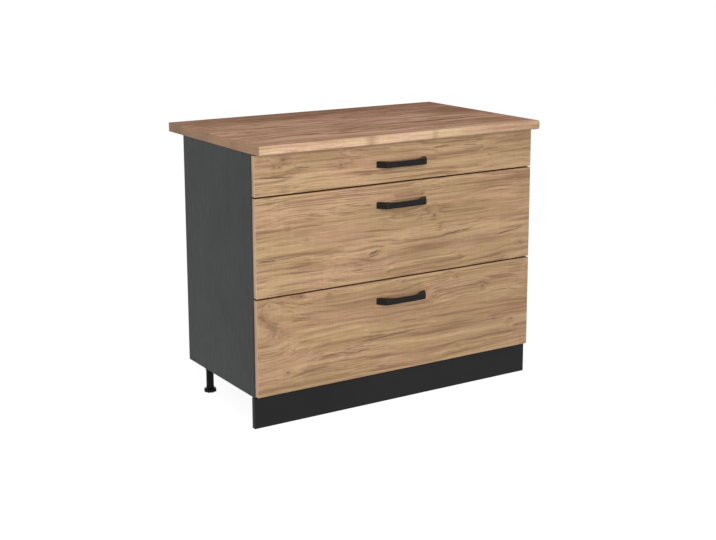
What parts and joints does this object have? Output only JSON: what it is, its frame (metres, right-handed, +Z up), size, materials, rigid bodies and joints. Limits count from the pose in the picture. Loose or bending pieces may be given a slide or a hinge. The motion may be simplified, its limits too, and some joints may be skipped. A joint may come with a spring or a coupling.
{
  "type": "base cabinet with drawers",
  "caption": "Kitchen base cabinet with full-width drawers under its own worktop, with oak fronts, black bow handles, a dark carcass and a plinth.",
  "frame": {"origin": "on the floor, under the middle of the worktop", "axes": "+X to the right of somebody facing the drawers, +Y to the rear, +Z up"},
  "size_m": [1, 0.6, 0.839],
  "materials": {
    "dark_board": "matte dark grey laminate with a fine grain",
    "inner_board": "matte dark grey laminate",
    "back_board": "thin fibreboard, white lacquer",
    "worktop_laminate": "matte brown oak laminate",
    "oak_front": "light golden oak laminate with knots",
    "box_board": "matte light grey laminate",
    "box_bottom_board": "thin fibreboard, light grey lacquer",
    "handle_black": "matte black",
    "leg_plastic": "matte black",
    "slide_steel": "zinc plated",
    "cage_steel": "zinc plated",
    "screw_steel": "zinc plated"
  },
  "bodies": {
    "cabinet": {"side_panel_left": "dark_board", "side_panel_right": "dark_board", "floor_panel": "inner_board", "front_top_rail": "inner_board", "rear_top_rail": "inner_board", "back_panel": "back_board", "worktop": "worktop_laminate", "plinth": "dark_board", "legs": "leg_plastic", "plinth_clips": "leg_plastic", "carcass_screws": "screw_steel", "worktop_screws": "screw_steel", "leg_screws": "screw_steel", "slide_screws": "screw_steel", "top_slide_cabinet_channels": "slide_steel", "centre_slide_cabinet_channels": "slide_steel", "bottom_slide_cabinet_channels": "slide_steel"},
    "top_drawer": {"top_drawer_front": "oak_front", "top_drawer_handle": "handle_black", "top_drawer_handle_screws": "screw_steel", "top_drawer_side_left": "box_board", "top_drawer_side_right": "box_board", "top_drawer_back": "box_board", "top_drawer_bottom": "box_bottom_board", "top_drawer_fixings": "screw_steel", "top_slide_drawer_channels": "slide_steel"},
    "top_middle_channels": {"top_slide_middle_channels": "slide_steel"},
    "top_outer_cages": {"top_slide_outer_cages": "cage_steel"},
    "top_inner_cages": {"top_slide_inner_cages": "cage_steel"},
    "centre_drawer": {"centre_drawer_front": "oak_front", "centre_drawer_handle": "handle_black", "centre_drawer_handle_screws": "screw_steel", "centre_drawer_side_left": "box_board", "centre_drawer_side_right": "box_board", "centre_drawer_back": "box_board", "centre_drawer_bottom": "box_bottom_board", "centre_drawer_fixings": "screw_steel", "centre_slide_drawer_channels": "slide_steel"},
    "centre_middle_channels": {"centre_slide_middle_channels": "slide_steel"},
    "centre_outer_cages": {"centre_slide_outer_cages": "cage_steel"},
    "centre_inner_cages": {"centre_slide_inner_cages": "cage_steel"},
    "bottom_drawer": {"bottom_drawer_front": "oak_front", "bottom_drawer_handle": "handle_black", "bottom_drawer_handle_screws": "screw_steel", "bottom_drawer_side_left": "box_board", "bottom_drawer_side_right": "box_board", "bottom_drawer_back": "box_board", "bottom_drawer_bottom": "box_bottom_board", "bottom_drawer_fixings": "screw_steel", "bottom_slide_drawer_channels": "slide_steel"},
    "bottom_middle_channels": {"bottom_slide_middle_channels": "slide_steel"},
    "bottom_outer_cages": {"bottom_slide_outer_cages": "cage_steel"},
    "bottom_inner_cages": {"bottom_slide_inner_cages": "cage_steel"},
    "foot_front_left": {"foot_front_left": "leg_plastic"},
    "foot_front_right": {"foot_front_right": "leg_plastic"},
    "foot_rear_left": {"foot_rear_left": "leg_plastic"},
    "foot_rear_right": {"foot_rear_right": "leg_plastic"}
  },
  "joints": [
    {"name": "top_drawer_slide", "type": "slide", "parent": "cabinet", "child": "top_drawer", "axis": [0, -1, 0], "range_m": [0, 0.4]},
    {"name": "top_middle_channels_slide", "type": "slide", "parent": "cabinet", "child": "top_middle_channels", "axis": [0, -1, 0], "range_m": [0, 0.2]},
    {"name": "top_outer_cages_slide", "type": "slide", "parent": "cabinet", "child": "top_outer_cages", "axis": [0, -1, 0], "range_m": [0, 0.1]},
    {"name": "top_inner_cages_slide", "type": "slide", "parent": "cabinet", "child": "top_inner_cages", "axis": [0, -1, 0], "range_m": [0, 0.3]},
    {"name": "centre_drawer_slide", "type": "slide", "parent": "cabinet", "child": "centre_drawer", "axis": [0, -1, 0], "range_m": [0, 0.4]},
    {"name": "centre_middle_channels_slide", "type": "slide", "parent": "cabinet", "child": "centre_middle_channels", "axis": [0, -1, 0], "range_m": [0, 0.2]},
    {"name": "centre_outer_cages_slide", "type": "slide", "parent": "cabinet", "child": "centre_outer_cages", "axis": [0, -1, 0], "range_m": [0, 0.1]},
    {"name": "centre_inner_cages_slide", "type": "slide", "parent": "cabinet", "child": "centre_inner_cages", "axis": [0, -1, 0], "range_m": [0, 0.3]},
    {"name": "bottom_drawer_slide", "type": "slide", "parent": "cabinet", "child": "bottom_drawer", "axis": [0, -1, 0], "range_m": [0, 0.4]},
    {"name": "bottom_middle_channels_slide", "type": "slide", "parent": "cabinet", "child": "bottom_middle_channels", "axis": [0, -1, 0], "range_m": [0, 0.2]},
    {"name": "bottom_outer_cages_slide", "type": "slide", "parent": "cabinet", "child": "bottom_outer_cages", "axis": [0, -1, 0], "range_m": [0, 0.1]},
    {"name": "bottom_inner_cages_slide", "type": "slide", "parent": "cabinet", "child": "bottom_inner_cages", "axis": [0, -1, 0], "range_m": [0, 0.3]},
    {"name": "foot_front_left_height", "type": "slide", "parent": "cabinet", "child": "foot_front_left", "axis": [0, 0, -1], "range_m": [0, 0.02]},
    {"name": "foot_front_right_height", "type": "slide", "parent": "cabinet", "child": "foot_front_right", "axis": [0, 0, -1], "range_m": [0, 0.02]},
    {"name": "foot_rear_left_height", "type": "slide", "parent": "cabinet", "child": "foot_rear_left", "axis": [0, 0, -1], "range_m": [0, 0.02]},
    {"name": "foot_rear_right_height", "type": "slide", "parent": "cabinet", "child": "foot_rear_right", "axis": [0, 0, -1], "range_m": [0, 0.02]}
  ],
  "couplings": [
    {"joint": "top_middle_channels_slide", "follows": "top_drawer_slide", "ratio": 0.5},
    {"joint": "top_outer_cages_slide", "follows": "top_drawer_slide", "ratio": 0.25},
    {"joint": "top_inner_cages_slide", "follows": "top_drawer_slide", "ratio": 0.75},
    {"joint": "centre_middle_channels_slide", "follows": "centre_drawer_slide", "ratio": 0.5},
    {"joint": "centre_outer_cages_slide", "follows": "centre_drawer_slide", "ratio": 0.25},
    {"joint": "centre_inner_cages_slide", "follows": "centre_drawer_slide", "ratio": 0.75},
    {"joint": "bottom_middle_channels_slide", "follows": "bottom_drawer_slide", "ratio": 0.5},
    {"joint": "bottom_outer_cages_slide", "follows": "bottom_drawer_slide", "ratio": 0.25},
    {"joint": "bottom_inner_cages_slide", "follows": "bottom_drawer_slide", "ratio": 0.75}
  ]
}
